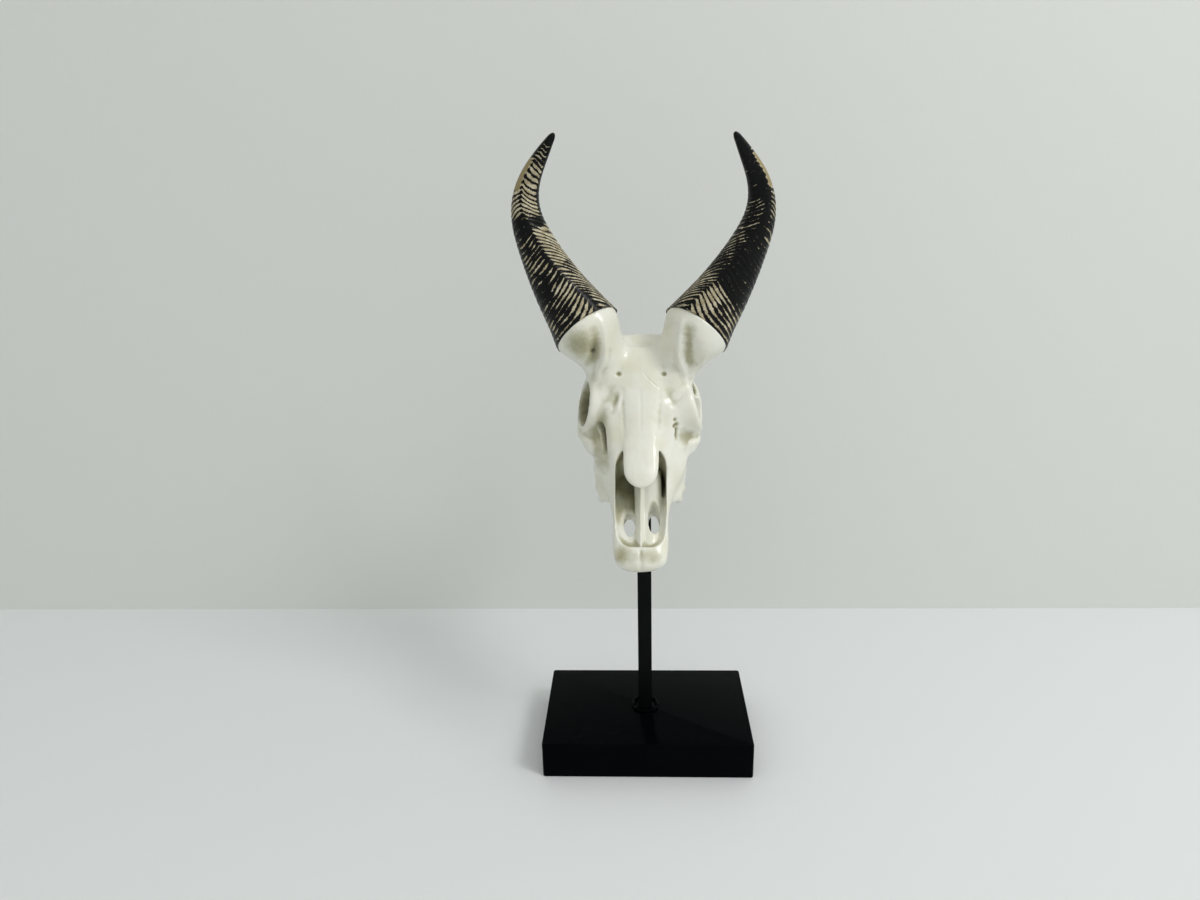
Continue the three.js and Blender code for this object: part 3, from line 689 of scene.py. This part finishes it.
tree.links.new(bump.outputs["Normal"], shader.inputs["Normal"])
shader.inputs["Roughness"].default_value = 0.42
shader.inputs["Coat Weight"].default_value = 0.55
shader.inputs["Coat Roughness"].default_value = 0.13
skull.data.materials.clear()
skull.data.materials.append(cast)
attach(skull, "root")
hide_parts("skull")

# The horns
# Two resin castings, one the mirror of the other, glued to the skull's rims. Each has a keel down the front
# and fine ridges that run down from it to both sides, painted black and rubbed back to tan on the ridges.
horn_sides, row_cuts = 96, (21, 19)
horn_lean, horn_splay, root_turn, horn_curl, tip_curl = (math.radians(a) for a in (30, 38.5, 8, 32, 43))
horn_sag, horn_hook = math.radians(6), math.radians(27)
horn_length, horn_below, rim_gap = 165.0, 30.0, 0.3
horn_taper, tip_full, tip_blunt, keel_rise = 1.1, 0.42, 0.03, 0.07
root_flare, flare_at, flare_width, flare_from, flare_to = 2.6, -1.2, 0.55, -10, 26
ridge_slope, ridge_skew, ridge_spacing, ridge_height = 0.65, 0.2, 3.7, 0.6
keel_root, keel_turn, keel_twist = -1.05, 0.55, 1.1
row_wander, row_ripple, row_drift = 0.12, 0.06, 0.35
smooth_from, smooth_over = 0.8, 0.08
horn_black, horn_tan, horn_cream, bare_resin = "#060707", "#9C9174", "#CBC3A9", "#968965"
wear_all_over, fade_along, fade_inner, fade_outer = 0.25, 4, 0.15, 0.2
# Where the paint is rubbed off: how far, from where to where along the horn in millimetres, and from where to
# where round it in radians from the keel, inward below 0 and outward above
worn_patches = {
    "horn_left": [
        (1.0, 4, 38, 0.02, 0.62), (0.6, -20, 34, 0.6, 1.9), (0.7, 0, 46, -1.6, -0.05),
        (0.5, 46, 114, -1.6, -0.1), (0.55, 74, 94, 0.5, 1.5), (0.62, 96, 118, 0.3, 1.4),
        (1.6, 118, 147, 0.3, 1.2),
    ],
    "horn_right": [
        (1.05, 55, 88, -1.7, -0.06), (0.72, 4, 55, -1.6, -0.05), (1.0, 99, 140, -1.4, -0.03),
        (0.54, 45, 86, 0.12, 1.3), (0.85, 6, 44, 0.08, 0.65), (0.55, -20, 36, 0.65, 1.7),
        (1.6, 114, 142, 0.12, 1.2), (0.85, 99, 115, 0.1, 1.2), (0.5, 143, 158, -1.2, 0.3),
    ],
}


def ease(value, start, end):
    """Rises smoothly from 0 to 1 between a start and an end."""
    share = np.clip((value - start) / (end - start), 0, 1)
    return share * share * (3 - 2 * share)


def horn_line(along):
    """The middle of the right horn and the way it heads, at places along it, in the skull's frame."""
    fine = np.linspace(0, 1, 400)
    out = horn_splay - root_turn * (1 - ease(fine, 0, 0.15)) - horn_curl * fine
    out -= tip_curl * ease(fine, 0.46, 0.855)
    fore = horn_hook * fine ** 2 - horn_sag * np.sin(np.pi * fine)
    heading = np.stack([np.sin(out) * np.cos(fore), -np.sin(fore), np.cos(out) * np.cos(fore)], axis=1)
    steps = (heading[1:] + heading[:-1]) / 2 * horn_length / (len(fine) - 1)
    middle = np.vstack([np.zeros(3), np.cumsum(steps, axis=0)])
    lean = np.array(Matrix.Rotation(-horn_lean, 3, "X"))
    share = np.clip(along / horn_length, 0, 1)
    at = np.stack([np.interp(share, fine, middle[:, i]) for i in range(3)], axis=1)
    way = np.stack([np.interp(share, fine, heading[:, i]) for i in range(3)], axis=1)
    at += way * np.minimum(along, 0)[:, None]
    return horn_foot + at @ lean.T, way @ lean.T


def horn_thickness(along):
    """The horn's radius at places along it."""
    share = np.clip(along / horn_length, 0, 1)
    thin = np.hypot(1 - share, tip_blunt) ** (horn_taper - tip_full * share ** 2)
    return horn_radius * thin * quarter_round((1 - share) / tip_blunt + 0.1)


horn_shape = {}


def horn_surface(points):
    """Lays the rows of an upright cylinder along the horn, each row running down both sides of the keel."""
    turn = np.arctan2(points[:, 1], points[:, 0])
    height = points[:, 2] * (horn_length + horn_below) - horn_below
    share = np.clip(height / horn_length, 0, 1)
    keel = keel_root + keel_turn * ease(share, 0.1, 0.5) + keel_twist * ease(share, 0.45, 0.8)
    off = (turn + np.pi / 2 - keel + np.pi) % (2 * np.pi) - np.pi
    slope = ridge_slope - ridge_skew * np.sin(off) * (1 - 2 * ease(share, 0.45, 0.75))
    slope *= 1 - ease(share, 0.82, 0.98)
    along = height.copy()
    for _ in range(4):
        along = height - slope * horn_thickness(along) * 2 * np.sin(np.abs(off) / 2)
    phase = height / ridge_spacing + row_wander * np.sin(3.1 * np.abs(off) + 0.21 * height + np.sign(off))
    phase += row_ripple * np.sin(6.7 * off - 0.33 * height) + row_drift * np.sin(0.17 * height)
    row = np.floor(phase).astype(int)
    dice = np.random.default_rng(7).uniform(0.45, 1, (2, 200))
    strength = dice[(off > 0).astype(int), row % 200]
    fade = np.clip((smooth_from - share) / smooth_over, 0, 1) * np.clip(np.abs(off) / 0.12, 0.25, 1)
    ridge = np.abs(np.sin(np.pi * phase)) ** 0.6 - 0.6
    thick = horn_thickness(along)
    facets = 1 + keel_rise * np.maximum(0, 1 - np.abs(off) / 0.75) - 0.02 * np.sin(off) ** 2
    middle, way = horn_line(along)
    out = np.cross((0, -1, 0), way)
    out /= np.linalg.norm(out, axis=1)[:, None]
    front = np.cross(way, out)
    reach = thick * facets + ridge_height * strength * fade * ridge
    flare = np.exp(-((off - flare_at) / flare_width) ** 2) * (1 - ease(along, flare_from, flare_to)) ** 2
    reach += root_flare * flare
    reach *= np.hypot(points[:, 0], points[:, 1]) > 0.5
    horn_shape.update(ridge=phase, along=along, off_keel=off)
    return middle - out * (reach * np.cos(turn))[:, None] - front * (reach * np.sin(turn))[:, None]


horn = add(
    bpy.ops.mesh.primitive_cylinder_add, vertices=horn_sides, radius=1, depth=1, location=(0, 0, 0.5),
    end_fill_type="TRIFAN",
)
bpy.ops.object.transform_apply()
for cuts in row_cuts:
    pick(horn, "EDGE", lambda e: abs(e.verts[0].co.z - e.verts[1].co.z) > 1e-4)
    bpy.ops.mesh.subdivide(number_cuts=cuts)
bpy.ops.object.mode_set(mode="OBJECT")
reshape(horn, horn_surface)
for name, values in horn_shape.items():
    horn.data.attributes.new(name, "FLOAT", "POINT").data.foreach_set("value", values)
pick(horn, "FACE", lambda face: True)
bpy.ops.mesh.bisect(
    plane_co=horn_foot + rim_gap * rim_normal, plane_no=rim_normal, use_fill=True, clear_inner=True
)
bpy.ops.mesh.select_all(action="SELECT")
bpy.ops.mesh.normals_make_consistent(inside=False)
bpy.ops.object.mode_set(mode="OBJECT")

# Black paint over cast resin, rubbed back on the ridges: a satin black with broken tan and cream strokes that
# follow the ridges, and bare tan patches where the paint is worn through.
painted_horn, tree, shader = finish("rubbed_black_horn_paint")
place = node(tree, "TexCoord").outputs["Object"]
ridge = node(tree, "Attribute", attribute_name="ridge").outputs["Fac"]
worn = node(tree, "Attribute", attribute_name="worn").outputs["Fac"]
number = node(tree, "Math", {0: ridge}, operation="FLOOR")
across = node(tree, "Math", {0: ridge, 1: number.outputs["Value"]}, operation="SUBTRACT")
from_crest = node(tree, "Math", {0: across.outputs["Value"], 1: 0.5}, operation="SUBTRACT")
off_crest = node(tree, "Math", {0: from_crest.outputs["Value"]}, operation="ABSOLUTE")
lane = node(tree, "Math", {0: number.outputs["Value"], 1: 3.71}, operation="MULTIPLY")
strokes = node(tree, "TexNoise", {"Vector": place, "W": lane.outputs["Value"], "Scale": 1 / (6 * mm),
                                  "Detail": 5, "Roughness": 0.75}, noise_dimensions="4D")
blotches = node(tree, "TexNoise", {"Vector": place, "Scale": 1 / (9 * mm), "Detail": 2})
patchy = node(tree, "MapRange", {"Value": blotches.outputs["Fac"], "From Min": 0.3, "From Max": 0.7,
                                 "To Min": -0.16, "To Max": 0.24})
pressed = node(tree, "Math", {0: worn, 1: patchy.outputs["Result"]}, operation="ADD")
rubbed = node(tree, "Math", {0: strokes.outputs["Fac"], 1: pressed.outputs["Value"]}, operation="ADD")
width = node(tree, "MapRange", {"Value": rubbed.outputs["Value"], "From Min": 0.86, "From Max": 1.45,
                                "To Min": 0.0, "To Max": 0.36})
grit = node(tree, "TexNoise", {"Vector": place, "Scale": 1 / (1.2 * mm), "Detail": 2})
ragged = node(tree, "MapRange", {"Value": grit.outputs["Fac"], "From Min": 0.3, "From Max": 0.7,
                                 "To Min": -0.11, "To Max": 0.06})
rough_width = node(tree, "Math", {0: width.outputs["Result"], 1: ragged.outputs["Result"]}, operation="ADD")
edge = node(tree, "Math", {0: rough_width.outputs["Value"], 1: off_crest.outputs["Value"]},
            operation="SUBTRACT")
line = node(tree, "MapRange", {"Value": edge.outputs["Value"], "From Min": 0.0, "From Max": 0.08})
bare = node(tree, "MapRange", {"Value": rubbed.outputs["Value"], "From Min": 1.65, "From Max": 1.9})
shown = node(tree, "Math", {0: line.outputs["Result"], 1: bare.outputs["Result"]}, operation="MAXIMUM")
tint = node(tree, "TexNoise", {"Vector": place, "Scale": 1 / (4 * mm), "Detail": 3})
tan = node(tree, "ValToRGB", {"Fac": tint.outputs["Fac"]})
tan.color_ramp.elements[0].color = linear(horn_tan)
tan.color_ramp.elements[0].position = 0.35
tan.color_ramp.elements[1].color = linear(horn_cream)
tan.color_ramp.elements[1].position = 0.7
stroked = node(tree, "Mix", {"Factor": line.outputs["Result"], 6: linear(horn_black),
                             7: tan.outputs["Color"]}, data_type="RGBA")
colour = node(tree, "Mix", {"Factor": bare.outputs["Result"], 6: stroked.outputs[2], 7: linear(bare_resin)},
              data_type="RGBA")
shine = node(tree, "MapRange", {"Value": shown.outputs["Value"], "To Min": 0.3, "To Max": 0.55})
bump = node(tree, "Bump", {"Height": tint.outputs["Fac"], "Strength": 0.2, "Distance": 0.3 * mm})
tree.links.new(colour.outputs[2], shader.inputs["Base Color"])
tree.links.new(shine.outputs["Result"], shader.inputs["Roughness"])
tree.links.new(bump.outputs["Normal"], shader.inputs["Normal"])
shader.inputs["Specular IOR Level"].default_value = 0.15


def read_values(piece, attribute):
    """A piece's attribute as an array, one number a vertex."""
    values = np.empty(len(piece.data.vertices))
    piece.data.attributes[attribute].data.foreach_get("value", values)
    return values


for name, side in (("horn_left", 1), ("horn_right", -1)):
    painted = horn.copy()
    painted.data = horn.data.copy()
    painted.name = name + "_painted"
    bpy.context.collection.objects.link(painted)
    painted.matrix_world = skull_pose @ Matrix.Diagonal((side, 1, 1, 1))
    bpy.ops.object.select_all(action="DESELECT")
    painted.select_set(True)
    bpy.context.view_layer.objects.active = painted
    bpy.ops.object.transform_apply()
    pick(painted, "FACE", lambda face: True)
    bpy.ops.mesh.normals_make_consistent(inside=False)
    bpy.ops.object.mode_set(mode="OBJECT")
    bpy.ops.object.shade_smooth_by_angle(angle=math.radians(50))
    along, off = (read_values(painted, attribute) for attribute in ("along", "off_keel"))
    wear = np.full(len(along), wear_all_over)
    for strength, start, end, inner, outer in worn_patches[name]:
        inside = ease(along, start - fade_along, start + fade_along)
        inside *= 1 - ease(along, end - fade_along, end + fade_along)
        inside *= ease(off, inner - fade_inner, inner + fade_inner)
        inside *= 1 - ease(off, outer - fade_outer, outer + fade_outer)
        wear = np.maximum(wear, wear_all_over + (strength - wear_all_over) * inside)
    painted.data.attributes.new("worn", "FLOAT", "POINT").data.foreach_set("value", wear)
    painted.data.materials.append(painted_horn)
    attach(painted, "root")
    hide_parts(name)
bpy.data.objects.remove(horn)

# The floor and the wall behind
# A pale painted floor and a plain wall, both only there for the light to fall on.
floor = add(bpy.ops.mesh.primitive_plane_add, size=8)
floor.name = "floor"
wall = add(bpy.ops.mesh.primitive_plane_add, size=4, location=(0, 0.242, 2), rotation=(math.pi / 2, 0, 0))
wall.name = "wall"
bpy.ops.object.transform_apply()
for stage, name, colour in ((floor, "pale_floor_paint", "#E0E2E3"), (wall, "pale_wall_paint", "#DDDFDB")):
    paint, tree, shader = finish(name)
    place = node(tree, "TexCoord").outputs["Object"]
    grain = node(tree, "TexNoise", {"Vector": place, "Scale": 1 / (4 * mm), "Detail": 3})
    bump = node(tree, "Bump", {"Height": grain.outputs["Fac"], "Strength": 0.15, "Distance": 0.5 * mm})
    shader.inputs["Base Color"].default_value = linear(colour)
    shader.inputs["Roughness"].default_value = 0.6
    tree.links.new(bump.outputs["Normal"], shader.inputs["Normal"])
    if stage is wall:
        behind = node(tree, "NewGeometry").outputs["Backfacing"]
        clear = node(tree, "BsdfTransparent").outputs["BSDF"]
        one_way = node(tree, "MixShader", {0: behind, 1: shader.outputs["BSDF"], 2: clear})
        tree.links.new(one_way.outputs["Shader"], tree.nodes["Material Output"].inputs["Surface"])
    stage.data.materials.append(paint)

# The light
# One soft lamp high on the right in front, in a pale room that is brighter above and towards the right.
world = bpy.data.worlds.new("pale_room")
bpy.context.scene.world = world
world.use_nodes = True
tree = world.node_tree
way = node(tree, "TexCoord").outputs["Generated"]
towards = node(tree, "VectorMath", {0: way, 1: (0.5, -0.1, 0.86)}, operation="DOT_PRODUCT")
window_side = node(tree, "MapRange", {"Value": towards.outputs["Value"], "From Min": -1, "From Max": 1,
                                      "To Min": 0.16, "To Max": 0.98})
tree.nodes["Background"].inputs["Color"].default_value = linear("#F4F6F4")
tree.links.new(window_side.outputs["Result"], tree.nodes["Background"].inputs["Strength"])
bpy.context.scene.view_settings.view_transform = "Standard"
key_at = Vector((1.5, -1.0, 2.05))
key = add(bpy.ops.object.light_add, type="AREA", location=key_at)
key.data.energy = 21
key.data.size = 0.72
key.rotation_euler = (Vector((0, 0, 0.28)) - key_at).to_track_quat("-Z", "Y").to_euler()

# The camera
# It stands a little above the horns and looks down on the face, as the photograph does.
focal_pixels, picture_width = 850.0, 1200.0
camera_at = Vector((-6.07 * mm, -667.25 * mm, 489.45 * mm))
camera_yaw, camera_pitch, camera_roll = (math.radians(a) for a in (-2.652, 17.692, 1.345))
camera = add(bpy.ops.object.camera_add)
camera.data.sensor_width = 36
camera.data.lens = focal_pixels / picture_width * 36
camera.matrix_world = (
    Matrix.Translation(camera_at) @ Matrix.Rotation(-camera_yaw, 4, "Z")
    @ Matrix.Rotation(math.pi / 2 - camera_pitch, 4, "X") @ Matrix.Rotation(-camera_roll, 4, "Z")
)
bpy.context.scene.camera = camera
